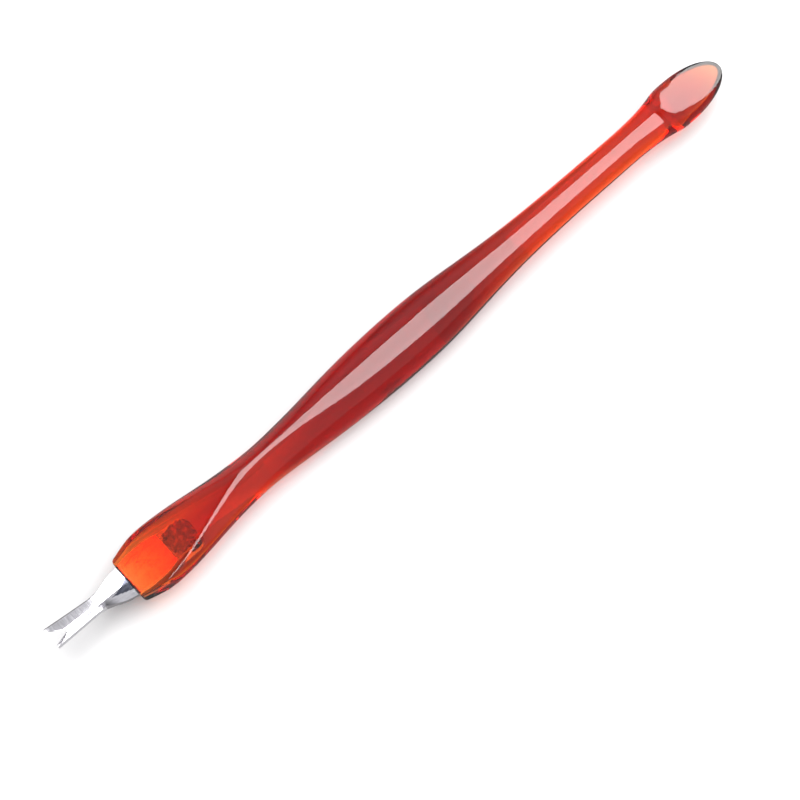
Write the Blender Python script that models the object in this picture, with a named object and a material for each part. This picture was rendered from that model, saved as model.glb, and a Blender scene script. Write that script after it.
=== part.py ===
"""Cuticle pusher and trimmer: a moulded handle with a slanted oval pusher, and a forked steel blade.

The tool lies on its belly along X, blade towards -X and pusher towards +X, with its oval face up.
It is symmetric about the XZ plane. The origin is under the middle of its length, on the surface
that it lies on. Lengths along the handle are measured back from its mouth, and lengths along the
blade forward from the mouth.
"""

import math

import bmesh
import bpy
import numpy as np
from mathutils import Matrix, Vector

MM = 0.001

# Overall sizes
HANDLE_LENGTH = 106.9 * MM
BLADE_REACH = 13.1 * MM
TOTAL_LENGTH = HANDLE_LENGTH + BLADE_REACH
MOUTH_X = BLADE_REACH - TOTAL_LENGTH / 2

# Handle section: (distance from the mouth, half width, half height), in millimetres, up to the
# widest point of the pusher bulb. Near the mouth its sides, top and underside are then limited.
HANDLE_STATIONS = (
    (0.0, 4.86, 6.50),
    (3.0, 4.84, 6.20),
    (7.0, 4.72, 5.70),
    (10.0, 4.47, 5.10),
    (13.4, 4.01, 4.40),
    (17.5, 3.44, 3.72),
    (20.2, 3.18, 3.47),
    (24.0, 2.98, 3.50),
    (27.5, 3.11, 3.73),
    (31.0, 3.33, 4.00),
    (35.0, 3.66, 4.20),
    (40.0, 4.04, 4.32),
    (46.0, 4.30, 4.36),
    (50.0, 4.33, 4.32),
    (54.0, 4.22, 4.20),
    (58.0, 3.91, 3.91),
    (62.0, 3.49, 3.49),
    (66.0, 3.10, 3.10),
    (70.0, 2.81, 2.81),
    (75.0, 2.60, 2.60),
    (80.0, 2.49, 2.49),
    (86.0, 2.44, 2.44),
    (91.0, 2.46, 2.42),
    (93.4, 2.62, 2.41),
    (94.6, 2.78, 2.43),
    (95.6, 2.97, 2.49),
    (96.4, 3.14, 2.66),
    (97.2, 3.29, 2.94),
    (98.2, 3.41, 2.98),
    (99.4, 3.46, 2.66),
)
MOUTH_FLARE = 0.03  # how fast the half width grows at the mouth
# Exponent of the section's superellipse: 1 is a diamond, with a ridge along the top, and 2 an ellipse
SECTION_STATIONS = (
    (0.0, 1.20),
    (20.0, 1.22),
    (24.0, 1.26),
    (27.5, 1.33),
    (31.0, 1.44),
    (35.0, 1.64),
    (40.0, 1.88),
    (45.0, 2.00),
    (99.4, 2.00),
)
# The same exponent for the section's lower half, which is rounder
UNDERSIDE_STATIONS = (
    (0.0, 1.20),
    (12.0, 1.30),
    (20.0, 1.65),
    (27.5, 1.85),
    (40.0, 2.00),
    (99.4, 2.00),
)
# The belly's underside is flat here, so that the tool rests with its face up.
FLAT_HEIGHT = 0.0
# Height of the handle's axis above the surface: (distance from the mouth, height)
AXIS_STATIONS = (
    (0.0, 4.57),
    (15.0, 4.61),
    (22.0, 4.49),
    (30.0, 4.15),
    (38.0, 4.06),
    (46.0, 4.11),
    (54.0, 4.20),
    (62.0, 4.37),
    (85.0, 4.45),
    (99.4, 4.39),
    (106.9, 4.35),
)
MOUTH_SLOPE = -0.02  # how fast the axis rises at the mouth
NOSE_DROP = -0.01  # and at the tip
NOSE_LENGTH = HANDLE_LENGTH / MM - HANDLE_STATIONS[-1][0]

# The front swell is flattened above and below by a straight scoop, thinnest at the mouth, and its
# sides are limited by walls that spread from the mouth.
SCOOP_AT_MOUTH = 1.02
SCOOP_SLOPE = 0.1075
SCOOP_EDGE = 0.13  # softness of the crest between the scoop and the flanks
SIDE_AT_MOUTH = 3.38
SIDE_SLOPE = 0.26
SIDE_EDGE = 0.12
# A diamond-like section has its side corners cut off: it reaches further than its half width by
# this share before they are.
CORNER_CUT = 0.05
ROUND_CLEAR = 0.20
MOUTH_ROUND = 0.40

# Pusher face: the plane that slices the top of the bulb
FACE_CENTRE = 101.2  # from the mouth
FACE_HEIGHT = 1.64  # above the axis of the bulb's widest point
FACE_SLOPE = math.radians(14.3)
FACE_CUTTER = (24.0, 12.0, 8.0)

# Blade: 0.5 mm sheet, flat at the tang, folded into a trough that deepens towards the prongs
SHEET = 0.50
BLADE_PITCH = math.radians(5.6)  # the blade rises forward
TANG_DEPTH = 7.0
# (distance forward of the mouth, half width), in millimetres
BLADE_STATIONS = (
    (-TANG_DEPTH, 2.45),
    (-5.6, 2.80),
    (-4.0, 2.92),
    (-2.2, 2.90),
    (-0.9, 2.74),
    (0.0, 2.56),
    (1.5, 2.34),
    (2.9, 1.93),
    (4.1, 1.50),
    (5.3, 1.28),
    (7.0, 1.30),
    (9.5, 1.44),
    (13.1, 1.64),
)
TANG_TAPER = 0.35  # how fast the half width grows at the tang's end
PRONG_TAPER = 0.04  # and at the prongs' tips
# How high the wings stand above the valley: (distance forward of the mouth, height)
TROUGH_STATIONS = (
    (-2.0, 0.0),
    (-0.6, 0.02),
    (0.6, 0.10),
    (2.0, 0.27),
    (3.5, 0.52),
    (5.0, 0.80),
    (6.5, 0.95),
    (8.5, 1.08),
    (10.6, 1.22),
    (13.1, 1.40),
)
TROUGH_END_SLOPE = 0.07
TROUGH_ROOT = 0.26
VALLEY_CROWDING = 1.25  # above 1 draws more of the section's points into the valley
NOTCH_START = 10.6
NOTCH_ROOT_HALF = 0.30
NOTCH_TIP_HALF = 1.47
NOTCH_OVERRUN = 1.0
NOTCH_LOW = -1.5
NOTCH_HIGH = 5.0

# Pocket in the handle: a blind slot, with the cement in its inner end
POCKET_HEIGHT = 0.80
POCKET_DEPTH = 11.7
POCKET_INNER_WIDTH = 4.50
POCKET_POINTS = 10
POCKET_OVERRUN = 2.0
CLEARANCE = 0.10
CEMENT_CORNER = 0.50
CEMENT_ROUND = 0.14

MOUTH_RINGS = 4
RING_POINTS = 48
BODY_RINGS = 54
NOSE_RINGS = 12
SHEET_POINTS = 15
BLADE_RINGS = 44
NOTCH_ROOT_POINTS = 6


def clear_scene():
    for obj in list(bpy.data.objects):
        bpy.data.objects.remove(obj, do_unlink=True)


def material(name, colour, roughness, metallic=0.0, transmission=0.0):
    made = bpy.data.materials.new(name)
    made.use_nodes = True
    shader = made.node_tree.nodes["Principled BSDF"]
    shader.inputs["Base Color"].default_value = (*colour, 1.0)
    shader.inputs["Roughness"].default_value = roughness
    shader.inputs["Metallic"].default_value = metallic
    shader.inputs["Transmission Weight"].default_value = transmission
    made.diffuse_color = (*colour, 1.0)
    return made


def new_object(name, bm, made_of=None):
    """An object from a bmesh whose coordinates are millimetres from the mouth's station."""
    bmesh.ops.recalc_face_normals(bm, faces=bm.faces)
    bmesh.ops.transform(bm, matrix=Matrix.Scale(MM, 4), verts=bm.verts)
    mesh = bpy.data.meshes.new(name)
    bm.to_mesh(mesh)
    bm.free()
    obj = bpy.data.objects.new(name, mesh)
    bpy.context.scene.collection.objects.link(obj)
    if made_of:
        mesh.materials.append(made_of)
    return obj


def smooth(obj, degrees):
    obj.data.shade_smooth()
    obj.data.set_sharp_from_angle(angle=math.radians(degrees))


def cut(obj, cutter):
    cutter.hide_render = True
    cutter.display_type = "WIRE"
    boolean = obj.modifiers.new("cut_" + cutter.name, "BOOLEAN")
    boolean.operation = "DIFFERENCE"
    boolean.solver = "EXACT"
    boolean.object = cutter


def spline(points, start_slope, end_slope):
    """A cubic spline through the points with the given slopes at its ends, as a function."""
    x = np.array([p[0] for p in points])
    y = np.array([p[1] for p in points])
    gap = np.diff(x)
    rise = np.diff(y) / gap
    count = len(x)
    system = np.zeros((count, count))
    wanted = np.zeros(count)
    system[0, 0] = 1.0
    system[-1, -1] = 1.0
    wanted[0] = start_slope
    wanted[-1] = end_slope
    for i in range(1, count - 1):
        system[i, i - 1] = gap[i]
        system[i, i] = 2.0 * (gap[i - 1] + gap[i])
        system[i, i + 1] = gap[i - 1]
        wanted[i] = 3.0 * (gap[i] * rise[i - 1] + gap[i - 1] * rise[i])
    slope = np.linalg.solve(system, wanted)

    def value(at):
        i = int(np.clip(np.searchsorted(x, at) - 1, 0, count - 2))
        t = (at - x[i]) / gap[i]
        a = y[i] * (1 + 2 * t) * (1 - t) ** 2 + gap[i] * slope[i] * t * (1 - t) ** 2
        b = y[i + 1] * t * t * (3 - 2 * t) - gap[i] * slope[i + 1] * t * t * (1 - t)
        return float(a + b)

    return value


HALF_WIDTH = spline([(u, w) for u, w, h in HANDLE_STATIONS], MOUTH_FLARE, 0.0)
HALF_HEIGHT = spline([(u, h) for u, w, h in HANDLE_STATIONS], 0.0, 0.0)
SECTION_POWER = spline(SECTION_STATIONS, 0.0, 0.0)
UNDERSIDE_POWER = spline(UNDERSIDE_STATIONS, 0.0, 0.0)
AXIS_HEIGHT = spline(AXIS_STATIONS, MOUTH_SLOPE, NOSE_DROP)
BLADE_HALF_WIDTH = spline(BLADE_STATIONS, TANG_TAPER, PRONG_TAPER)
TROUGH_DEPTH = spline(TROUGH_STATIONS, 0.0, TROUGH_END_SLOPE)


def soft_limit(value, limit, softness):
    """The value kept within +-limit, with a rounded shoulder."""
    room = (limit - abs(value)) / softness
    if room > 30.0:
        return value
    return math.copysign(max(limit - softness * math.log1p(math.exp(room)), 0.0), value)


def handle_ring(u, inset=0.0):
    """One cross-section of the handle, at u from the mouth and drawn in by inset."""
    bulb_at = HANDLE_STATIONS[-1][0]
    nose = min(max(u - bulb_at, 0.0) / NOSE_LENGTH, 1.0)
    taper = math.sqrt(1.0 - nose * nose)
    at = min(u, bulb_at)
    ridged = (2.0 - SECTION_POWER(at)) / (2.0 - SECTION_STATIONS[0][1])
    half_width = HALF_WIDTH(at) * taper
    width = half_width * (1.0 + CORNER_CUT * ridged)
    height = HALF_HEIGHT(at) * taper
    upper_power = 2.0 / SECTION_POWER(at)
    lower_power = 2.0 / UNDERSIDE_POWER(at)
    limit = SCOOP_AT_MOUTH + SCOOP_SLOPE * u
    walls = SIDE_AT_MOUTH + SIDE_SLOPE * u
    side = min(walls, half_width + ROUND_CLEAR * (1.0 - ridged))
    centre = AXIS_HEIGHT(u)
    ring = []
    for i in range(RING_POINTS):
        angle = 2.0 * math.pi * (i + 0.5) / RING_POINTS
        power = upper_power if angle < math.pi else lower_power
        y = width * math.copysign(abs(math.cos(angle)) ** power, math.cos(angle))
        z = height * math.copysign(abs(math.sin(angle)) ** power, math.sin(angle))
        y = soft_limit(y, side, SIDE_EDGE) * (side - inset) / side
        z = soft_limit(z, limit, SCOOP_EDGE) * (limit - inset) / limit
        ring.append(Vector((u, y, max(centre + z, FLAT_HEIGHT))))
    return ring


def loft(bm, rings, tip=None):
    """Faces between one ring and the next, a flat cap on the first and a cap or a fan on the last."""
    made = [[bm.verts.new(point) for point in ring] for ring in rings]
    count = len(made[0])
    for near, far in zip(made, made[1:]):
        for i in range(count):
            j = (i + 1) % count
            bm.faces.new((near[i], near[j], far[j], far[i]))
    bm.faces.new(made[0])
    if tip is None:
        bm.faces.new(made[-1])
        return
    end = bm.verts.new(tip)
    for i in range(count):
        bm.faces.new((made[-1][i], made[-1][(i + 1) % count], end))


def place(obj, pitch=0.0):
    """Puts an object drawn from the mouth's station in its place along X."""
    obj.location = (MOUTH_X, 0.0, 0.0)
    if pitch:
        obj.location.z = AXIS_HEIGHT(0.0) * MM
        obj.rotation_euler.y = pitch
    return obj


def make_handle(plastic):
    bm = bmesh.new()
    rings = []
    for k in range(MOUTH_RINGS):
        turn = 0.5 * math.pi * (1.0 - k / MOUTH_RINGS)
        u = MOUTH_ROUND * (1.0 - math.sin(turn))
        rings.append(handle_ring(u, MOUTH_ROUND * (1.0 - math.cos(turn))))
    bulb_at = HANDLE_STATIONS[-1][0]
    for k in range(1, BODY_RINGS + 1):
        rings.append(handle_ring(MOUTH_ROUND + (bulb_at - MOUTH_ROUND) * k / BODY_RINGS))
    for k in range(1, NOSE_RINGS):
        rings.append(handle_ring(bulb_at + NOSE_LENGTH * math.sin(0.5 * math.pi * k / NOSE_RINGS)))
    tip = Vector((HANDLE_LENGTH / MM, 0.0, AXIS_HEIGHT(HANDLE_LENGTH / MM)))
    loft(bm, rings, tip)
    handle = place(new_object("handle", bm, plastic))
    cut(handle, face_cutter())
    cut(handle, pocket_cutter())
    smooth(handle, 35.0)
    return handle


def face_cutter():
    """A block whose underside is the plane of the pusher face."""
    bm = bmesh.new()
    bmesh.ops.create_cube(bm, size=1.0)
    bmesh.ops.scale(bm, vec=FACE_CUTTER, verts=bm.verts)
    bmesh.ops.translate(bm, vec=(0.0, 0.0, FACE_CUTTER[2] / 2), verts=bm.verts)
    bmesh.ops.rotate(bm, matrix=Matrix.Rotation(FACE_SLOPE, 3, "Y"), verts=bm.verts)
    centre = AXIS_HEIGHT(HANDLE_STATIONS[-1][0]) + FACE_HEIGHT
    bmesh.ops.translate(bm, vec=(FACE_CENTRE, 0.0, centre), verts=bm.verts)
    return place(new_object("face_cutter", bm))


def prism(outline, low, high):
    """A bmesh block: an outline of (x, y) points, drawn up from low to high."""
    bm = bmesh.new()
    base = [bm.verts.new((x, y, low)) for x, y in outline]
    face = bm.faces.new(base)
    raised = bmesh.ops.extrude_face_region(bm, geom=[face])
    lifted = [v for v in raised["geom"] if isinstance(v, bmesh.types.BMVert)]
    bmesh.ops.translate(bm, vec=(0.0, 0.0, high - low), verts=lifted)
    return bm


def mirrored(side):
    """An outline from the points of its +Y side, taken in order, and their mirror images."""
    return side + [(x, -y) for x, y in reversed(side)]


def pocket_cutter():
    """The slot round the tang, from ahead of the mouth, and the narrower blind end behind it."""
    side = [(-POCKET_OVERRUN, BLADE_HALF_WIDTH(0.0) + CLEARANCE)]
    for k in range(POCKET_POINTS + 1):
        u = TANG_DEPTH * k / POCKET_POINTS
        side.append((u, BLADE_HALF_WIDTH(-u) + CLEARANCE))
    side.append((TANG_DEPTH + CLEARANCE, POCKET_INNER_WIDTH / 2))
    side.append((POCKET_DEPTH, POCKET_INNER_WIDTH / 2))
    bm = prism(mirrored(side), -POCKET_HEIGHT / 2, POCKET_HEIGHT / 2)
    return place(new_object("pocket_cutter", bm), BLADE_PITCH)


def trough_depth(v):
    """How high the wings stand above the valley at v forward of the mouth."""
    return TROUGH_DEPTH(v) if v > TROUGH_STATIONS[0][0] else 0.0


def blade_ring(v):
    """One cross-section of the sheet: its upper side from edge to edge, then its underside back."""
    half = BLADE_HALF_WIDTH(v)
    depth = trough_depth(v)
    span = math.hypot(half, TROUGH_ROOT) - TROUGH_ROOT
    upper = []
    lower = []
    for i in range(SHEET_POINTS):
        t = 2.0 * i / (SHEET_POINTS - 1) - 1.0
        y = half * math.copysign(abs(t) ** VALLEY_CROWDING, t)
        z = depth * (math.hypot(y, TROUGH_ROOT) - TROUGH_ROOT) / span
        slope = depth * y / math.hypot(y, TROUGH_ROOT) / span
        length = math.hypot(slope, 1.0)
        across = Vector((0.0, -slope / length, 1.0 / length)) * (SHEET / 2)
        upper.append(Vector((-v, y, z)) + across)
        lower.append(Vector((-v, y, z)) - across)
    return upper + lower[::-1]


def notch_outline():
    """Plan of the V between the prongs: a round root, then straight sides out past the tips."""
    side = []
    for k in range(1, NOTCH_ROOT_POINTS + 1):
        turn = 0.5 * math.pi * k / NOTCH_ROOT_POINTS
        x = -NOTCH_START - NOTCH_ROOT_HALF * (1.0 - math.cos(turn))
        side.append((x, NOTCH_ROOT_HALF * math.sin(turn)))
    tip = -BLADE_REACH / MM
    side.append((tip, NOTCH_TIP_HALF))
    side.append((tip - NOTCH_OVERRUN, NOTCH_TIP_HALF + NOTCH_OVERRUN))
    return mirrored(side) + [(-NOTCH_START, 0.0)]


def make_blade(steel):
    bm = bmesh.new()
    length = BLADE_REACH / MM + TANG_DEPTH
    loft(bm, [blade_ring(length * k / BLADE_RINGS - TANG_DEPTH) for k in range(BLADE_RINGS + 1)])
    blade = place(new_object("blade", bm, steel), BLADE_PITCH)
    notch = prism(notch_outline(), NOTCH_LOW, NOTCH_HIGH)
    cut(blade, place(new_object("notch_cutter", notch), BLADE_PITCH))
    smooth(blade, 30.0)
    return blade


def make_cement(resin):
    """The set cement that fills the blind end of the pocket behind the tang."""
    start = TANG_DEPTH + CLEARANCE
    end = POCKET_DEPTH - CLEARANCE
    half = POCKET_INNER_WIDTH / 2 - CLEARANCE
    side = [
        (start, half - CEMENT_CORNER),
        (start + CEMENT_CORNER, half),
        (end - CEMENT_CORNER, half),
        (end, half - CEMENT_CORNER),
    ]
    thick = POCKET_HEIGHT / 2 - CLEARANCE
    bm = prism(mirrored(side), -thick, thick)
    cement = place(new_object("tang_cement", bm, resin), BLADE_PITCH)
    bevel = cement.modifiers.new("round", "BEVEL")
    bevel.width = CEMENT_ROUND * MM
    bevel.segments = 2
    smooth(cement, 40.0)
    return cement


def main():
    clear_scene()
    plastic = material("amber_plastic", (0.78, 0.06, 0.02), 0.06, 0.0, 0.8)
    steel = material("polished_steel", (0.72, 0.72, 0.74), 0.16, 1.0)
    resin = material("brown_resin", (0.10, 0.02, 0.01), 0.5)
    make_handle(plastic)
    make_blade(steel)
    make_cement(resin)


main()
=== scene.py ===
"""Looks for the cuticle pusher: a clear amber-red handle, a ground steel fork and the cement behind it.

Each piece is drawn again, finer than its CAD solid and from the same sizes, and replaces it. As in
the part, lengths along the handle are measured back from its mouth, lengths along the blade forward
from the mouth, and the drawing is in millimetres from the mouth until new_piece puts it in place.
"""

import math

import bmesh
import bpy
import numpy as np
from mathutils import Matrix, Vector, noise


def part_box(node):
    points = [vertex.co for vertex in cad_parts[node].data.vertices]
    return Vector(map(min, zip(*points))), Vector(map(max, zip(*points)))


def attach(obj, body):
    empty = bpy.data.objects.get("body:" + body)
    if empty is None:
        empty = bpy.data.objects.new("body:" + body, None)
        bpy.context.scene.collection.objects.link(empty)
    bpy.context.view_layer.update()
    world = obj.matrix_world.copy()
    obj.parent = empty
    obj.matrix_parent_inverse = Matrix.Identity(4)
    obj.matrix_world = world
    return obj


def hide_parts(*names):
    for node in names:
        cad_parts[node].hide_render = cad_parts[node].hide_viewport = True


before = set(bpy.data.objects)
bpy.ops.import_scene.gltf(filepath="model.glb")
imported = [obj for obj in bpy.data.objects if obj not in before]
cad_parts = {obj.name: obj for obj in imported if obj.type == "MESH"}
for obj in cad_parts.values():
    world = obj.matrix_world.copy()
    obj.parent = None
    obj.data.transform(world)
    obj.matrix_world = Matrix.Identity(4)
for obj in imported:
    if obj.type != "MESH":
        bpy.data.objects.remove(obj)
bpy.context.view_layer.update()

MM = 0.001
HANDLE_LOW, HANDLE_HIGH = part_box("handle")
MOUTH_X = HANDLE_LOW[0]

# ---------------------------------------------------------------- handle sizes, in millimetres
HANDLE_LENGTH = (HANDLE_HIGH[0] - HANDLE_LOW[0]) / MM
# (distance from the mouth, half width, half height) of the section, up to the widest point of the
# pusher bulb. Near the mouth its sides, top and underside are then limited.
HANDLE_STATIONS = (
    (0.0, 4.86, 6.50),
    (3.0, 4.84, 6.20),
    (7.0, 4.72, 5.70),
    (10.0, 4.47, 5.10),
    (13.4, 4.01, 4.40),
    (17.5, 3.44, 3.72),
    (20.2, 3.18, 3.47),
    (24.0, 2.98, 3.50),
    (27.5, 3.11, 3.73),
    (31.0, 3.33, 4.00),
    (35.0, 3.66, 4.20),
    (40.0, 4.04, 4.32),
    (46.0, 4.30, 4.36),
    (50.0, 4.33, 4.32),
    (54.0, 4.22, 4.20),
    (58.0, 3.91, 3.91),
    (62.0, 3.49, 3.49),
    (66.0, 3.10, 3.10),
    (70.0, 2.81, 2.81),
    (75.0, 2.60, 2.60),
    (80.0, 2.49, 2.49),
    (86.0, 2.44, 2.44),
    (91.0, 2.46, 2.42),
    (93.4, 2.62, 2.41),
    (94.6, 2.78, 2.43),
    (95.6, 2.97, 2.49),
    (96.4, 3.14, 2.66),
    (97.2, 3.29, 2.94),
    (98.2, 3.41, 2.98),
    (99.4, 3.46, 2.66),
)
MOUTH_FLARE = 0.03  # how fast the half width grows at the mouth
# Height of the handle's axis above the surface: (distance from the mouth, height)
AXIS_STATIONS = (
    (0.0, 4.57),
    (15.0, 4.61),
    (22.0, 4.49),
    (30.0, 4.15),
    (38.0, 4.06),
    (46.0, 4.11),
    (54.0, 4.20),
    (62.0, 4.37),
    (85.0, 4.45),
    (99.4, 4.39),
    (106.9, 4.35),
)
MOUTH_SLOPE = -0.02  # how fast the axis rises at the mouth
NOSE_DROP = -0.01  # and at the tip
BULB_AT = HANDLE_STATIONS[-1][0]
NOSE_LENGTH = HANDLE_LENGTH - BULB_AT
# Exponent of the section's superellipse: 1 is a diamond, with a ridge along the top, and 2 an ellipse
SECTION_STATIONS = (
    (0.0, 1.20),
    (20.0, 1.22),
    (24.0, 1.26),
    (27.5, 1.33),
    (31.0, 1.44),
    (35.0, 1.64),
    (40.0, 1.88),
    (45.0, 2.00),
    (99.4, 2.00),
)
# The same exponent for the section's lower half, which is rounder
UNDERSIDE_STATIONS = (
    (0.0, 1.20),
    (12.0, 1.30),
    (20.0, 1.65),
    (27.5, 1.85),
    (40.0, 2.00),
    (99.4, 2.00),
)
# The belly's underside is flat here, a little lower than on the solid.
FLAT_HEIGHT = -0.15
# The front swell is flattened above and below by a straight scoop, thinnest at the mouth, and its
# sides are limited by walls that spread from the mouth.
SCOOP_AT_MOUTH = 1.02
SCOOP_SLOPE = 0.1075
SCOOP_EDGE = 0.13  # softness of the crest between the scoop and the flanks
SIDE_AT_MOUTH = 3.38
SIDE_SLOPE = 0.26
SIDE_EDGE = 0.12
# A diamond-like section has its side corners cut off: it reaches further than its half width by
# this share before they are. A round one stays clear of the limit by a fixed distance.
CORNER_CUT = 0.05
ROUND_CLEAR = 0.20
SIDE_BLEND = 0.10  # softness of the change from the walls to the half width
SOFT_REACH = 30.0  # distance from a soft corner, in softnesses, where it no longer shows
MOUTH_ROUND = 0.40
# Pusher face: the plane that slices the top of the bulb
FACE_CENTRE = 101.2  # from the mouth
FACE_HEIGHT = 1.64  # above the axis of the bulb's widest point
FACE_SLOPE = math.radians(14.3)
FACE_EDGE = 0.035  # softness of the polished face's rim

# ---------------------------------------------------------------- blade sizes, in millimetres
BLADE_REACH = 13.1
SHEET = 0.50
BLADE_PITCH = math.radians(5.6)
TANG_DEPTH = 7.0
# (distance forward of the mouth, half width)
BLADE_STATIONS = (
    (-TANG_DEPTH, 2.45),
    (-5.6, 2.80),
    (-4.0, 2.92),
    (-2.2, 2.90),
    (-0.9, 2.74),
    (0.0, 2.56),
    (1.5, 2.34),
    (2.9, 1.93),
    (4.1, 1.50),
    (5.3, 1.28),
    (7.0, 1.30),
    (9.5, 1.44),
    (13.1, 1.64),
)
TANG_TAPER = 0.35  # how fast the half width grows at the tang's end
PRONG_TAPER = 0.04  # and at the prongs' tips
# How high the wings stand above the valley: (distance forward of the mouth, height)
TROUGH_STATIONS = (
    (-2.0, 0.0),
    (-0.6, 0.02),
    (0.6, 0.10),
    (2.0, 0.27),
    (3.5, 0.52),
    (5.0, 0.80),
    (6.5, 0.95),
    (8.5, 1.08),
    (10.6, 1.22),
    (13.1, 1.40),
)
TROUGH_END_SLOPE = 0.07
TROUGH_ROOT = 0.26  # how round the valley's bottom is
NOTCH_START = 10.6
NOTCH_ROOT_HALF = 0.30
NOTCH_TIP_HALF = 1.47
# The inner side of each wing is ground thin towards its edge, from a rounded run-out to the tip.
GRIND_START = 4.9
GRIND_RUN_OUT = 0.55
GRIND_FROM = 0.25  # where the ground strip starts, as a share of the half width
GRIND_EDGE = 0.38  # sheet thickness left at the edge
GRIND_STEP = 0.07  # how deep the strip is cut where it starts
# The strip's points start no further out than this share of the half width, and no nearer the
# notch than this distance.
STRIP_LATEST = 0.985
STRIP_CLEAR = 0.01
# A blue-grey triangle beside the mouth, painted in as the reflection of dark surroundings: how far it
# reaches from the mouth, where its point lies across the sheet, and how far it spreads to each side at
# the mouth.
DARK_REFLECTION_REACH = 3.1
DARK_REFLECTION_APEX = -0.45
DARK_REFLECTION_LEFT = 1.10
DARK_REFLECTION_RIGHT = 1.05
DARK_REFLECTION_CURVE = 1.5  # above 1 hollows its left side
# Places of the sheet's finishes, and of its painted dark reflection, among its materials, after the
# polished steel at 0
GROUND = 1
GLUED = 2
PAINTED_REFLECTION = 3

# ---------------------------------------------------------------- slot and cement, in millimetres
SLOT_GAP = 0.03
SLOT_OVERRUN = 2.0
CEMENT_END = 11.6
CEMENT_HALF = 2.25
CEMENT_MIDDLE = (TANG_DEPTH + CEMENT_END) / 2
CEMENT_CORNER = 0.7  # exponent of the cement's outline: 1 is an ellipse, and less is squarer
CEMENT_MEAN = 0.80  # how much of its outline it fills where it has no lump
CEMENT_LUMP = 0.42  # how far its edge comes and goes, as a share of its size
CEMENT_FLATTEN = 0.35  # exponent of its thickness, much squarer than its outline
CEMENT_HALF_HEIGHT = 0.235
# The fractal noise that makes the lumps, which change less through the thickness than along it
LUMP_SCALE = 2.6
LUMP_TALL = 0.3
LUMP_ROUGHNESS = 0.7
LUMP_STEP = 2.2
LUMP_OCTAVES = 6

# How finely the pieces are drawn
RING_POINTS = 160
RING_STEP = 0.30
MOUTH_RINGS = 8
SLOT_POINTS = 14
NOSE_RINGS = 40
BLADE_ROWS = 200
ROOT_ROWS = 14
VALLEY_POINTS = 16
STRIP_POINTS = 10
CEMENT_SUBDIVISIONS = 6
# Degrees between two faces from which the edge between them stays sharp
HANDLE_SHARP = 40.0
BLADE_SHARP = 24.0
CEMENT_SHARP = 60.0


def spline(points, start_slope, end_slope):
    """A cubic spline through the points with the given slopes at its ends, as a function."""
    x = np.array([p[0] for p in points])
    y = np.array([p[1] for p in points])
    gap = np.diff(x)
    rise = np.diff(y) / gap
    count = len(x)
    system = np.zeros((count, count))
    wanted = np.zeros(count)
    system[0, 0] = 1.0
    system[-1, -1] = 1.0
    wanted[0] = start_slope
    wanted[-1] = end_slope
    for i in range(1, count - 1):
        system[i, i - 1] = gap[i]
        system[i, i] = 2.0 * (gap[i - 1] + gap[i])
        system[i, i + 1] = gap[i - 1]
        wanted[i] = 3.0 * (gap[i] * rise[i - 1] + gap[i - 1] * rise[i])
    slope = np.linalg.solve(system, wanted)

    def value(at):
        i = int(np.clip(np.searchsorted(x, at) - 1, 0, count - 2))
        t = (at - x[i]) / gap[i]
        a = y[i] * (1 + 2 * t) * (1 - t) ** 2 + gap[i] * slope[i] * t * (1 - t) ** 2
        b = y[i + 1] * t * t * (3 - 2 * t) - gap[i] * slope[i + 1] * t * t * (1 - t)
        return float(a + b)

    return value


HALF_WIDTH = spline([(u, w) for u, w, h in HANDLE_STATIONS], MOUTH_FLARE, 0.0)
HALF_HEIGHT = spline([(u, h) for u, w, h in HANDLE_STATIONS], 0.0, 0.0)
SECTION_POWER = spline(SECTION_STATIONS, 0.0, 0.0)
UNDERSIDE_POWER = spline(UNDERSIDE_STATIONS, 0.0, 0.0)
AXIS_HEIGHT = spline(AXIS_STATIONS, MOUTH_SLOPE, NOSE_DROP)
BLADE_HALF_WIDTH = spline(BLADE_STATIONS, TANG_TAPER, PRONG_TAPER)
TROUGH_DEPTH = spline(TROUGH_STATIONS, 0.0, TROUGH_END_SLOPE)


# ---------------------------------------------------------------- making pieces


def new_piece(name, bm, slots=(), replaced=None, pitch=0.0):
    """A piece from a bmesh in millimetres from the mouth. One with a pitch is drawn about the
    handle's axis at the mouth. One that replaces a node rides on the root body."""
    bmesh.ops.recalc_face_normals(bm, faces=bm.faces)
    if bm.calc_volume(signed=True) < 0.0:
        bmesh.ops.reverse_faces(bm, faces=bm.faces)
    lift = AXIS_HEIGHT(0.0) * MM if pitch else 0.0
    turn = Matrix.Rotation(pitch, 4, "Y")
    placed = Matrix.Translation((MOUTH_X, 0.0, lift)) @ turn @ Matrix.Scale(MM, 4)
    bmesh.ops.transform(bm, matrix=placed, verts=bm.verts)
    mesh = bpy.data.meshes.new(name)
    bm.to_mesh(mesh)
    bm.free()
    piece = bpy.data.objects.new(name, mesh)
    bpy.context.scene.collection.objects.link(piece)
    for material in slots:
        mesh.materials.append(material)
    if replaced:
        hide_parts(replaced)
        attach(piece, "root")
    return piece


def loft(bm, rings, tip):
    """Faces between one ring and the next, a flat cap on the first and a fan from the last to tip."""
    made = [[bm.verts.new(point) for point in ring] for ring in rings]
    count = len(made[0])
    for near, far in zip(made, made[1:]):
        for i in range(count):
            j = (i + 1) % count
            bm.faces.new((near[i], near[j], far[j], far[i]))
    bm.faces.new(made[0])
    end = bm.verts.new(tip)
    for i in range(count):
        bm.faces.new((made[-1][i], made[-1][(i + 1) % count], end))


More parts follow.
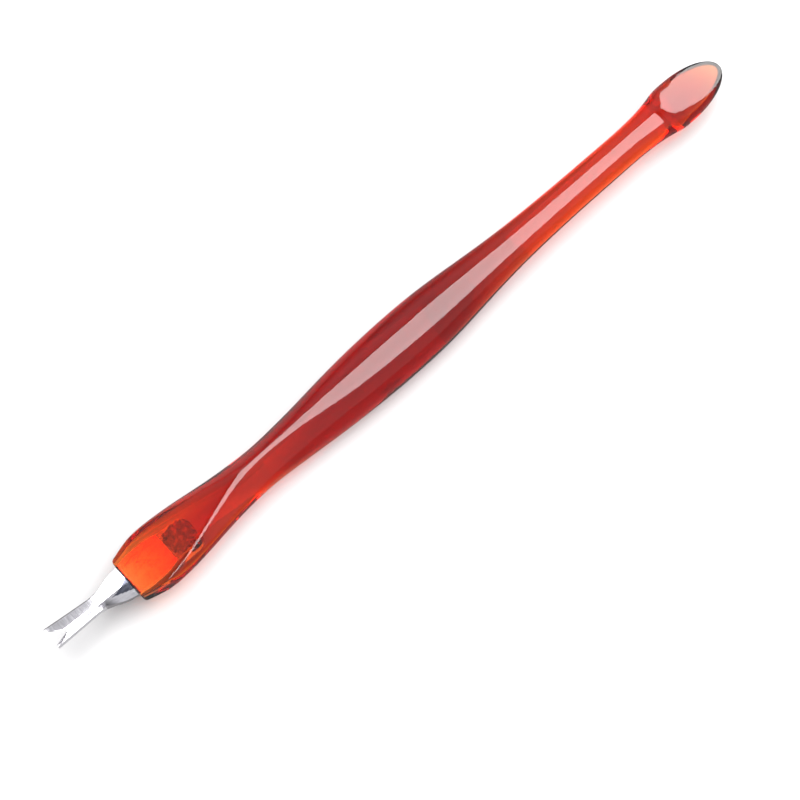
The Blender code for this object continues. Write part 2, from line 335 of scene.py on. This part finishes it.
def prism(outline, low, high):
    """A bmesh block: an outline of (x, y) points, drawn up from low to high."""
    bm = bmesh.new()
    face = bm.faces.new([bm.verts.new((x, y, low)) for x, y in outline])
    raised = bmesh.ops.extrude_face_region(bm, geom=[face])
    lifted = [v for v in raised["geom"] if isinstance(v, bmesh.types.BMVert)]
    bmesh.ops.translate(bm, vec=(0.0, 0.0, high - low), verts=lifted)
    return bm


def mirrored(side):
    """An outline from the points of its +Y side, taken in order, and their mirror images."""
    return side + [(x, -y) for x, y in reversed(side)]


def subtract(piece, cutter):
    """Cuts the cutter's shape out of the piece for good, then removes the cutter."""
    boolean = piece.modifiers.new(cutter.name, "BOOLEAN")
    boolean.operation = "DIFFERENCE"
    boolean.solver = "EXACT"
    boolean.object = cutter
    graph = bpy.context.evaluated_depsgraph_get()
    cut_mesh = bpy.data.meshes.new_from_object(piece.evaluated_get(graph), depsgraph=graph)
    piece.modifiers.clear()
    piece.data = cut_mesh
    bpy.data.objects.remove(cutter, do_unlink=True)


def smooth(piece, degrees):
    """Shades the piece smooth, but for edges this sharp or sharper."""
    piece.data.shade_smooth()
    piece.data.set_sharp_from_angle(angle=math.radians(degrees))


# ---------------------------------------------------------------- handle


def soft_limit(value, limit, softness):
    """The value kept within +-limit, with a rounded shoulder."""
    room = (limit - abs(value)) / softness
    if room > SOFT_REACH:
        return value
    return math.copysign(max(limit - softness * math.log1p(math.exp(room)), 0.0), value)


def soft_min(a, b, softness):
    """The smaller of two values, with a rounded corner where they cross."""
    gap = (b - a) / softness
    if abs(gap) > SOFT_REACH:
        return min(a, b)
    return b - softness * math.log1p(math.exp(gap))


def scoop(u):
    """How far above and below the axis the front swell may reach at u."""
    return SCOOP_AT_MOUTH + SCOOP_SLOPE * u


def side_limit(u):
    """How far out the walls beside the mouth stand at u."""
    return SIDE_AT_MOUTH + SIDE_SLOPE * u


def face_plane(u):
    """Height of the pusher face's plane at u."""
    return AXIS_HEIGHT(BULB_AT) + FACE_HEIGHT - (u - FACE_CENTRE) * math.tan(FACE_SLOPE)


def handle_ring(u, inset=0.0):
    """One cross-section of the handle, at u from the mouth and drawn in by inset."""
    nose = min(max(u - BULB_AT, 0.0) / NOSE_LENGTH, 1.0)
    taper = math.sqrt(1.0 - nose * nose)
    at = min(u, BULB_AT)
    ridged = (2.0 - SECTION_POWER(at)) / (2.0 - SECTION_STATIONS[0][1])
    half_width = HALF_WIDTH(at) * taper
    width = half_width * (1.0 + CORNER_CUT * ridged)
    height = HALF_HEIGHT(at) * taper
    upper_power = 2.0 / SECTION_POWER(at)
    lower_power = 2.0 / UNDERSIDE_POWER(at)
    limit = scoop(u)
    side = soft_min(side_limit(u), half_width + ROUND_CLEAR * (1.0 - ridged), SIDE_BLEND)
    centre = AXIS_HEIGHT(u)
    ring = []
    for i in range(RING_POINTS):
        angle = 2.0 * math.pi * (i + 0.5) / RING_POINTS
        power = upper_power if angle < math.pi else lower_power
        y = width * math.copysign(abs(math.cos(angle)) ** power, math.cos(angle))
        z = height * math.copysign(abs(math.sin(angle)) ** power, math.sin(angle))
        y = soft_limit(y, side, SIDE_EDGE) * (side - inset) / side
        z = centre + soft_limit(z, limit, SCOOP_EDGE) * (limit - inset) / limit
        z = soft_min(z, face_plane(u), FACE_EDGE)
        ring.append(Vector((u, y, max(z, FLAT_HEIGHT))))
    return ring


def slot_cutter():
    """The slot that holds the tang and, behind it, the cement."""
    side = [(-SLOT_OVERRUN, BLADE_HALF_WIDTH(0.0) + SLOT_GAP)]
    for k in range(SLOT_POINTS + 1):
        u = TANG_DEPTH * k / SLOT_POINTS
        side.append((u, BLADE_HALF_WIDTH(-u) + SLOT_GAP))
    reach = CEMENT_END - CEMENT_MIDDLE
    for k in range(SLOT_POINTS):
        turn = 0.5 * math.pi * k / SLOT_POINTS
        u = CEMENT_MIDDLE + reach * math.sin(turn) ** CEMENT_CORNER
        side.append((u, (CEMENT_HALF + SLOT_GAP) * math.cos(turn) ** CEMENT_CORNER))
    bm = prism(mirrored(side), -SHEET / 2 - SLOT_GAP, SHEET / 2 + SLOT_GAP)
    return new_piece("slot_cutter", bm, pitch=BLADE_PITCH)


def make_handle(plastic):
    """The moulding: rings from its rounded mouth to the bulb's nose, and the slot cut out."""
    bm = bmesh.new()
    rings = []
    for k in range(MOUTH_RINGS):
        turn = 0.5 * math.pi * (1.0 - k / MOUTH_RINGS)
        u = MOUTH_ROUND * (1 - math.sin(turn))
        rings.append(handle_ring(u, MOUTH_ROUND * (1 - math.cos(turn))))
    steps = round((BULB_AT - MOUTH_ROUND) / RING_STEP)
    for k in range(steps + 1):
        rings.append(handle_ring(MOUTH_ROUND + (BULB_AT - MOUTH_ROUND) * k / steps))
    for k in range(1, NOSE_RINGS):
        rings.append(handle_ring(BULB_AT + NOSE_LENGTH * math.sin(0.5 * math.pi * k / NOSE_RINGS)))
    loft(bm, rings, Vector((HANDLE_LENGTH, 0.0, AXIS_HEIGHT(HANDLE_LENGTH))))
    handle = new_piece("handle_shell", bm, (plastic,), "handle")
    subtract(handle, slot_cutter())
    smooth(handle, HANDLE_SHARP)


# ---------------------------------------------------------------- blade


def trough_depth(v):
    """How high the wings stand above the valley at v forward of the mouth."""
    return TROUGH_DEPTH(v) if v > TROUGH_STATIONS[0][0] else 0.0


def section_point(v, y):
    """(height, slope) of the sheet's middle surface at v, y."""
    half = BLADE_HALF_WIDTH(v)
    depth = trough_depth(v)
    span = math.hypot(half, TROUGH_ROOT) - TROUGH_ROOT
    height = depth * (math.hypot(y, TROUGH_ROOT) - TROUGH_ROOT) / span
    return height, depth * y / math.hypot(y, TROUGH_ROOT) / span


def grind_from(v):
    """Distance from the valley at which the ground strip starts; the half width means no strip."""
    half = BLADE_HALF_WIDTH(v)
    into = (v - GRIND_START) / GRIND_RUN_OUT
    if into <= 0.0:
        return half
    reach = math.sqrt(1.0 - (1.0 - min(into, 1.0)) ** 2)
    return half * (1.0 - (1.0 - GRIND_FROM) * reach)


def notch_half(v):
    """Half width of the V between the prongs: a round root, then straight sides out to the tips."""
    into = v - NOTCH_START
    if into < NOTCH_ROOT_HALF:
        return math.sqrt(max(NOTCH_ROOT_HALF**2 - (NOTCH_ROOT_HALF - into) ** 2, 0.0))
    share = (into - NOTCH_ROOT_HALF) / (BLADE_REACH - NOTCH_START - NOTCH_ROOT_HALF)
    return NOTCH_ROOT_HALF + (NOTCH_TIP_HALF - NOTCH_ROOT_HALF) * share


def blade_rows():
    """Distances of the sheet's rows of points from the mouth, close together at the notch's root."""
    length = NOTCH_START + TANG_DEPTH
    rows = [NOTCH_START - length * (BLADE_ROWS - k) / BLADE_ROWS for k in range(BLADE_ROWS + 1)]
    for k in range(1, ROOT_ROWS + 1):
        rows.append(NOTCH_START + NOTCH_ROOT_HALF * (1.0 - math.cos(0.5 * math.pi * k / ROOT_ROWS)))
    rest = BLADE_REACH - rows[-1]
    steps = round(rest * BLADE_ROWS / length)
    return rows + [rows[-1] + rest * k / steps for k in range(1, steps + 1)]


def sheet_points(v, side):
    """The upper and lower points of one wing at v, from the valley or the notch out to its edge."""
    half = BLADE_HALF_WIDTH(v)
    inner = notch_half(v) if v > NOTCH_START else 0.0
    start = max(min(grind_from(v), half * STRIP_LATEST), inner + STRIP_CLEAR)
    ys = [inner + (start - inner) * k / VALLEY_POINTS for k in range(VALLEY_POINTS + 1)]
    ys += [start + (half - start) * k / STRIP_POINTS for k in range(1, STRIP_POINTS + 1)]
    upper = []
    lower = []
    for k, y in enumerate(ys):
        z, slope = section_point(v, side * y)
        length = math.hypot(slope, 1.0)
        across = Vector((0.0, -slope / length, 1.0 / length))
        loss = 0.0
        if k > VALLEY_POINTS and grind_from(v) < half:
            share = (k - VALLEY_POINTS) / STRIP_POINTS
            loss = GRIND_STEP + (SHEET - GRIND_EDGE - GRIND_STEP) * share
        upper.append(Vector((-v, side * y, z)) + across * (SHEET / 2 - loss))
        lower.append(Vector((-v, side * y, z)) - across * (SHEET / 2))
    return upper, lower


def in_painted_reflection(v, y):
    """Whether a point of the sheet lies in the triangle beside the mouth where a dark reflection is
    painted.
    """
    share = max(1.0 - v / DARK_REFLECTION_REACH, 0.0)
    right = DARK_REFLECTION_APEX - DARK_REFLECTION_RIGHT * share
    left = DARK_REFLECTION_APEX + DARK_REFLECTION_LEFT * share**DARK_REFLECTION_CURVE
    return 0.0 < v < DARK_REFLECTION_REACH and right < y < left


def make_blade(slots):
    """The sheet, row by row from the tang's end to the prongs' tips, one wing at a time."""
    bm = bmesh.new()
    rows = blade_rows()
    last = VALLEY_POINTS + STRIP_POINTS
    middle = {}
    for side in (1.0, -1.0):
        grid = []
        for k, v in enumerate(rows):
            lines = sheet_points(v, side)
            outer = [[bm.verts.new(point) for point in line[1:]] for line in lines]
            # The wings share the valley's points, and the notch parts them.
            if side > 0.0 or v > NOTCH_START:
                middle[k] = [bm.verts.new(line[0]) for line in lines]
            grid.append([[first] + line for first, line in zip(middle[k], outer)])
        for k in range(len(rows) - 1):
            near, far = grid[k], grid[k + 1]
            for i in range(last):
                top = bm.faces.new((near[0][i], near[0][i + 1], far[0][i + 1], far[0][i]))
                bm.faces.new((near[1][i], far[1][i], far[1][i + 1], near[1][i + 1]))
                centre = top.calc_center_median()
                # The triangle beside the mouth gets a painted dark reflection.
                if in_painted_reflection(-centre.x, centre.y):
                    top.material_index = PAINTED_REFLECTION
                elif rows[k + 1] < 0.0:
                    top.material_index = GLUED
                elif i >= VALLEY_POINTS and grind_from(rows[k + 1]) < BLADE_HALF_WIDTH(rows[k + 1]):
                    top.material_index = GROUND
            bm.faces.new((near[0][last], near[1][last], far[1][last], far[0][last]))
            if rows[k] >= NOTCH_START:
                bm.faces.new((near[0][0], far[0][0], far[1][0], near[1][0]))
        for i in range(last):
            for upper, lower in (grid[0], grid[-1]):
                bm.faces.new((upper[i], lower[i], lower[i + 1], upper[i + 1]))
    bmesh.ops.recalc_face_normals(bm, faces=bm.faces)
    blade = new_piece("steel_fork", bm, slots, "blade", BLADE_PITCH)
    smooth(blade, BLADE_SHARP)


# ---------------------------------------------------------------- cement


def make_cement(resin):
    """A lumpy tongue of set cement in the blind end of the slot."""
    bm = bmesh.new()
    bmesh.ops.create_icosphere(bm, subdivisions=CEMENT_SUBDIVISIONS, radius=1.0)
    reach = (CEMENT_END - TANG_DEPTH) / 2 - SLOT_GAP
    for vertex in bm.verts:
        x, y, z = vertex.co
        where = Vector((x, y, LUMP_TALL * z)) * LUMP_SCALE
        lump = noise.fractal(where, LUMP_ROUGHNESS, LUMP_STEP, LUMP_OCTAVES)
        shrink = min(1.0, CEMENT_MEAN + CEMENT_LUMP * lump)
        along = math.copysign(abs(x) ** CEMENT_CORNER, x) * shrink
        vertex.co.x = TANG_DEPTH + SLOT_GAP + reach * (1.0 + along)
        vertex.co.y = CEMENT_HALF * math.copysign(abs(y) ** CEMENT_CORNER, y) * shrink
        vertex.co.z = CEMENT_HALF_HEIGHT * math.copysign(abs(z) ** CEMENT_FLATTEN, z)
    cement = new_piece("set_cement", bm, (resin,), "tang_cement", BLADE_PITCH)
    smooth(cement, CEMENT_SHARP)


# ---------------------------------------------------------------- materials


PLASTIC_COLOUR = (1.0, 0.66, 0.48)
PLASTIC_CLEAR = (0.923, 0.58, 0.0)  # the colours that the plastic lets through
PLASTIC_DENSITY = 1300.0  # how fast it takes the others away, per metre
PLASTIC_IOR = 1.50
STEEL_DULL = (0.56, 0.55, 0.57)
STEEL_BRIGHT = (0.72, 0.71, 0.74)
GLUE_DULL = (0.36, 0.08, 0.07)
GLUE_BRIGHT = (0.66, 0.19, 0.15)
# Blue-grey of a dark reflection, painted on the sheet beside the mouth
DARK_REFLECTION_DULL = (0.06, 0.065, 0.085)
DARK_REFLECTION_BRIGHT = (0.13, 0.135, 0.17)
# Scales of a noise along X, Y and Z: a small one draws it out that way
LENGTHWAYS = (0.12, 1.0, 1.0)
CROSSWAYS = (1.0, 0.12, 0.12)
ALL_WAYS = (1.0, 1.0, 1.0)
# Noise textures: (scale, detail, roughness, stretch)
SMUDGES = (260.0, 4.0, 0.6, (0.4, 1.0, 1.0))
RIPPLE = (110.0, 1.0, 0.4, (0.35, 1.0, 1.0))
RESIN_PATCHES = (1500.0, 5.0, 0.75, ALL_WAYS)
# Bumps: (strength, height in metres)
RIPPLE_BUMP = (0.10, 0.0006)
BUBBLE_BUMP = (0.6, 0.00008)
GRAIN_HEIGHT = 0.00002
GRAIN_DETAIL = 3.0
GRAIN_ROUGHNESS = 0.65
PLASTIC_ROUGHNESS = (0.012, 0.045)
# The sheet's finishes in the order of their places: (name, least and most roughness, scale of the
# grain, its strength as bump, its direction, dull and bright colours)
BLADE_STEELS = (
    ("polished_steel", (0.07, 0.12), 2200.0, 0.06, LENGTHWAYS, STEEL_DULL, STEEL_BRIGHT),
    ("ground_steel", (0.12, 0.19), 5200.0, 0.25, CROSSWAYS, STEEL_DULL, STEEL_BRIGHT),
    ("glued_steel", (0.10, 0.22), 900.0, 0.30, ALL_WAYS, GLUE_DULL, GLUE_BRIGHT),
    # A dark reflection beside the mouth, painted in as blue-grey steel
    ("steel_painted_reflection", (0.12, 0.20), 2200.0, 0.10, LENGTHWAYS, DARK_REFLECTION_DULL, DARK_REFLECTION_BRIGHT),
)
RESIN_DARK = (0.012, 0.004, 0.003)
RESIN_RED = (0.60, 0.12, 0.06)
RESIN_DARK_TO = 0.50  # noise value up to which it is dark
RESIN_RED_FROM = 0.74  # and from which it is red
RESIN_ROUGHNESS = (0.15, 0.5)
BUBBLE_SCALE = 2600.0
BUBBLE_REACH = 0.6  # distance from a bubble's middle to its rim, in the texture's cells


def new_material(name, colour):
    """A material with its nodes, links and shader. The colour is what the viewport shows."""
    made = bpy.data.materials.new(name)
    made.use_nodes = True
    made.diffuse_color = (*colour, 1.0)
    nodes = made.node_tree.nodes
    return made, nodes, made.node_tree.links, nodes["Principled BSDF"]


def add(nodes, kind, **sockets):
    """A node with some of its inputs set, by the name each shows."""
    node = nodes.new(kind)
    for name, value in sockets.items():
        node.inputs[name.replace("_", " ")].default_value = value
    return node


def noise_on(nodes, links, scale, detail, roughness, stretch):
    """A noise texture in object coordinates, which are metres, stretched along the axes."""
    where = nodes.new("ShaderNodeTexCoord")
    mapping = add(nodes, "ShaderNodeMapping", Scale=stretch)
    links.new(where.outputs["Object"], mapping.inputs["Vector"])
    made = add(nodes, "ShaderNodeTexNoise", Scale=scale, Detail=detail, Roughness=roughness)
    links.new(mapping.outputs["Vector"], made.inputs["Vector"])
    return made


def remap(nodes, links, source, low, high, from_low=0.3, from_high=0.7):
    """A value between from_low and from_high spread between low and high."""
    node = add(
        nodes,
        "ShaderNodeMapRange",
        From_Min=from_low,
        From_Max=from_high,
        To_Min=low,
        To_Max=high,
    )
    links.new(source, node.inputs["Value"])
    return node.outputs["Result"]


def bump(nodes, links, height, strength, distance):
    """The normal of a surface that the height raises."""
    node = add(nodes, "ShaderNodeBump", Strength=strength, Distance=distance)
    links.new(height, node.inputs["Height"])
    return node.outputs["Normal"]


def plastic_material():
    """Clear amber-red plastic: glass with absorption, faint moulding ripple and handling marks."""
    made, nodes, links, shader = new_material("clear_amber_plastic", (0.8, 0.12, 0.04))
    shader.inputs["Base Color"].default_value = (*PLASTIC_COLOUR, 1.0)
    shader.inputs["Transmission Weight"].default_value = 1.0
    shader.inputs["IOR"].default_value = PLASTIC_IOR
    smudge = noise_on(nodes, links, *SMUDGES)
    roughness = remap(nodes, links, smudge.outputs["Fac"], *PLASTIC_ROUGHNESS)
    links.new(roughness, shader.inputs["Roughness"])
    ripple = noise_on(nodes, links, *RIPPLE)
    normal = bump(nodes, links, ripple.outputs["Fac"], *RIPPLE_BUMP)
    links.new(normal, shader.inputs["Normal"])
    absorb = nodes.new("ShaderNodeVolumeAbsorption")
    absorb.inputs["Color"].default_value = (*PLASTIC_CLEAR, 1.0)
    absorb.inputs["Density"].default_value = PLASTIC_DENSITY
    links.new(absorb.outputs["Volume"], nodes["Material Output"].inputs["Volume"])
    return made


def steel_material(name, roughness, grain, strength, stretch, dull, bright):
    """Steel with a fine grain: grain is its noise scale and stretch its direction."""
    made, nodes, links, shader = new_material(name, bright)
    shader.inputs["Metallic"].default_value = 1.0
    lines = noise_on(nodes, links, grain, GRAIN_DETAIL, GRAIN_ROUGHNESS, stretch)
    tint = nodes.new("ShaderNodeMix")
    tint.data_type = "RGBA"
    tint.inputs["A"].default_value = (*dull, 1.0)
    tint.inputs["B"].default_value = (*bright, 1.0)
    links.new(remap(nodes, links, lines.outputs["Fac"], 0.0, 1.0), tint.inputs["Factor"])
    links.new(tint.outputs["Result"], shader.inputs["Base Color"])
    links.new(remap(nodes, links, lines.outputs["Fac"], *roughness), shader.inputs["Roughness"])
    normal = bump(nodes, links, lines.outputs["Fac"], strength, GRAIN_HEIGHT)
    links.new(normal, shader.inputs["Normal"])
    return made


def resin_material():
    """Dark set cement, mottled with red and pitted by bubbles."""
    made, nodes, links, shader = new_material("bubbly_cement", (0.10, 0.02, 0.01))
    patches = noise_on(nodes, links, *RESIN_PATCHES)
    ramp = nodes.new("ShaderNodeValToRGB")
    stops = ramp.color_ramp.elements
    stops[0].position = RESIN_DARK_TO
    stops[0].color = (*RESIN_DARK, 1.0)
    stops[1].position = RESIN_RED_FROM
    stops[1].color = (*RESIN_RED, 1.0)
    links.new(patches.outputs["Fac"], ramp.inputs["Fac"])
    links.new(ramp.outputs["Color"], shader.inputs["Base Color"])
    bubbles = nodes.new("ShaderNodeTexVoronoi")
    bubbles.inputs["Scale"].default_value = BUBBLE_SCALE
    where = nodes.new("ShaderNodeTexCoord")
    links.new(where.outputs["Object"], bubbles.inputs["Vector"])
    roughness = remap(nodes, links, bubbles.outputs["Distance"], *RESIN_ROUGHNESS, 0.0, BUBBLE_REACH)
    links.new(roughness, shader.inputs["Roughness"])
    normal = bump(nodes, links, bubbles.outputs["Distance"], *BUBBLE_BUMP)
    links.new(normal, shader.inputs["Normal"])
    return made


# ---------------------------------------------------------------- studio


TARGET = Vector((0.0, 0.0, 0.00425))  # the middle of the tool
CAMERA_FORWARD = -0.08  # how far the camera leans towards the blade, as a share of its distance
CAMERA_LEAN = math.radians(22.5)  # and how far it leans over to the -Y side
CAMERA_TURN = math.radians(41.21)  # the handle's direction in the picture, up from the horizontal
CAMERA_DISTANCE = 0.8
CAMERA_LENS = 265.4  # millimetres, as is the sensor's width
CAMERA_SENSOR = 36.0
CAMERA_NEAR = 0.01
# How far the camera stands to the right of the target and below it in the picture
CAMERA_RIGHT = 0.00142
CAMERA_DOWN = 0.00619
LIGHT_DIRECTION = Vector((0.42, -0.20, 0.88)).normalized()
LIGHT_DISTANCE = 1.2
LIGHT_HALF_SIZE = (0.62, 0.70)  # as tangents, seen from the tool
LIGHT_POWER = 63.0
# Brightness of the room above the table: (sine of the elevation, grey)
ROOM_LIGHT = ((0.0, 0.14), (0.25, 0.35), (0.60, 0.85), (0.88, 0.75), (0.95, 0.22), (1.0, 0.18))
ROOM_BLUE = 1.04  # its blue, as a share of the grey
# A white card low on the -Y side: the Y of the directions where it starts and where it is full
CARD_START = -0.72
CARD_FULL = -0.90
CARD_LIGHT = 0.80
FLOOR_RADIUS = 0.7
FLOOR_SIDES = 96
FLOOR_GAP = 0.00016  # puts the table top just under the flat of the belly
FLOOR_COLOUR = (0.435, 0.432, 0.432)
FLOOR_REFLECTED = (0.13, 0.128, 0.128)  # its colour in the pieces' reflections


def make_camera():
    """A long lens above the tool, on its -Y side."""
    level = math.sqrt(1.0 - CAMERA_FORWARD**2)
    back = Vector((CAMERA_FORWARD, -math.sin(CAMERA_LEAN) * level, math.cos(CAMERA_LEAN) * level))
    along = (Vector((1.0, 0.0, 0.0)) - back * back.x).normalized()
    across = along.cross(back)
    right = along * math.cos(CAMERA_TURN) + across * math.sin(CAMERA_TURN)
    up = along * math.sin(CAMERA_TURN) - across * math.cos(CAMERA_TURN)
    data = bpy.data.cameras.new("camera")
    data.lens = CAMERA_LENS
    data.sensor_width = CAMERA_SENSOR
    data.clip_start = CAMERA_NEAR
    camera = bpy.data.objects.new("camera", data)
    bpy.context.scene.collection.objects.link(camera)
    turn = Matrix((right, up, back)).transposed().to_4x4()
    place = TARGET + right * CAMERA_RIGHT - up * CAMERA_DOWN + back * CAMERA_DISTANCE
    camera.matrix_world = Matrix.Translation(place) @ turn
    bpy.context.scene.camera = camera


def make_softbox():
    """One large rectangular softbox; its reflection is the long stripe on the handle."""
    across = Vector((0.0, 1.0, 0.0)).cross(LIGHT_DIRECTION).normalized()
    upward = LIGHT_DIRECTION.cross(across)
    data = bpy.data.lights.new("softbox", "AREA")
    data.shape = "RECTANGLE"
    data.size = 2.0 * LIGHT_DISTANCE * LIGHT_HALF_SIZE[0]
    data.size_y = 2.0 * LIGHT_DISTANCE * LIGHT_HALF_SIZE[1]
    data.energy = LIGHT_POWER
    lamp = bpy.data.objects.new("softbox", data)
    bpy.context.scene.collection.objects.link(lamp)
    turn = Matrix((across, upward, LIGHT_DIRECTION)).transposed().to_4x4()
    lamp.matrix_world = Matrix.Translation(TARGET + LIGHT_DIRECTION * LIGHT_DISTANCE) @ turn


def make_world():
    """Pale surroundings for the camera, and a dimmer room above the table for the reflections."""
    world = bpy.data.worlds.new("studio")
    bpy.context.scene.world = world
    world.use_nodes = True
    nodes = world.node_tree.nodes
    links = world.node_tree.links
    nodes.clear()
    where = nodes.new("ShaderNodeTexCoord")
    split = nodes.new("ShaderNodeSeparateXYZ")
    links.new(where.outputs["Generated"], split.inputs["Vector"])
    ramp = nodes.new("ShaderNodeValToRGB")
    stops = ramp.color_ramp.elements
    for sine, grey in ROOM_LIGHT[1:-1]:
        stops.new(sine)
    for stop, (sine, grey) in zip(stops, ROOM_LIGHT):
        stop.position = sine
        stop.color = (grey, grey, grey * ROOM_BLUE, 1.0)
    links.new(split.outputs["Z"], ramp.inputs["Fac"])
    card = remap(nodes, links, split.outputs["Y"], 0.0, CARD_LIGHT, CARD_START, CARD_FULL)
    brighter = nodes.new("ShaderNodeMix")
    brighter.data_type = "RGBA"
    brighter.blend_type = "LIGHTEN"
    brighter.inputs["Factor"].default_value = 1.0
    links.new(ramp.outputs["Color"], brighter.inputs["A"])
    links.new(card, brighter.inputs["B"])
    room = nodes.new("ShaderNodeBackground")
    links.new(brighter.outputs["Result"], room.inputs["Color"])
    seen = nodes.new("ShaderNodeBackground")
    seen.inputs["Color"].default_value = (1.0, 1.0, 1.0, 1.0)
    path = nodes.new("ShaderNodeLightPath")
    mix = nodes.new("ShaderNodeMixShader")
    links.new(path.outputs["Is Camera Ray"], mix.inputs["Fac"])
    links.new(room.outputs["Background"], mix.inputs[1])
    links.new(seen.outputs["Background"], mix.inputs[2])
    out = nodes.new("ShaderNodeOutputWorld")
    links.new(mix.outputs["Shader"], out.inputs["Surface"])


def make_floor():
    """A round white table top, which the pieces reflect dimmer than the camera sees it."""
    bm = bmesh.new()
    bmesh.ops.create_circle(bm, cap_ends=True, segments=FLOOR_SIDES, radius=FLOOR_RADIUS)
    mesh = bpy.data.meshes.new("floor")
    bm.to_mesh(mesh)
    bm.free()
    floor = bpy.data.objects.new("floor", mesh)
    bpy.context.scene.collection.objects.link(floor)
    floor.location.z = -FLOOR_GAP
    made, nodes, links, shader = new_material("white_table", (0.9, 0.9, 0.9))
    shader.inputs["Base Color"].default_value = (*FLOOR_COLOUR, 1.0)
    shader.inputs["Roughness"].default_value = 0.7
    shader.inputs["Specular IOR Level"].default_value = 0.2
    dimmer = add(nodes, "ShaderNodeBsdfDiffuse", Color=(*FLOOR_REFLECTED, 1.0))
    path = nodes.new("ShaderNodeLightPath")
    mix = nodes.new("ShaderNodeMixShader")
    links.new(path.outputs["Is Reflection Ray"], mix.inputs["Fac"])
    links.new(shader.outputs["BSDF"], mix.inputs[1])
    links.new(dimmer.outputs["BSDF"], mix.inputs[2])
    links.new(mix.outputs["Shader"], nodes["Material Output"].inputs["Surface"])
    mesh.materials.append(made)


def set_light_paths():
    """Plain colours, and enough bounces for light to pass through the handle and back."""
    scene = bpy.context.scene
    scene.view_settings.view_transform = "Standard"
    scene.view_settings.look = "None"
    scene.cycles.max_bounces = 16
    scene.cycles.transmission_bounces = 14
    scene.cycles.glossy_bounces = 8
    scene.cycles.diffuse_bounces = 4
    scene.cycles.caustics_refractive = True
    scene.cycles.caustics_reflective = True
    scene.cycles.blur_glossy = 0.3
    scene.cycles.sample_clamp_indirect = 6.0


make_camera()
make_softbox()
make_world()
make_floor()
set_light_paths()
make_handle(plastic_material())
make_blade([steel_material(*steel) for steel in BLADE_STEELS])
make_cement(resin_material())
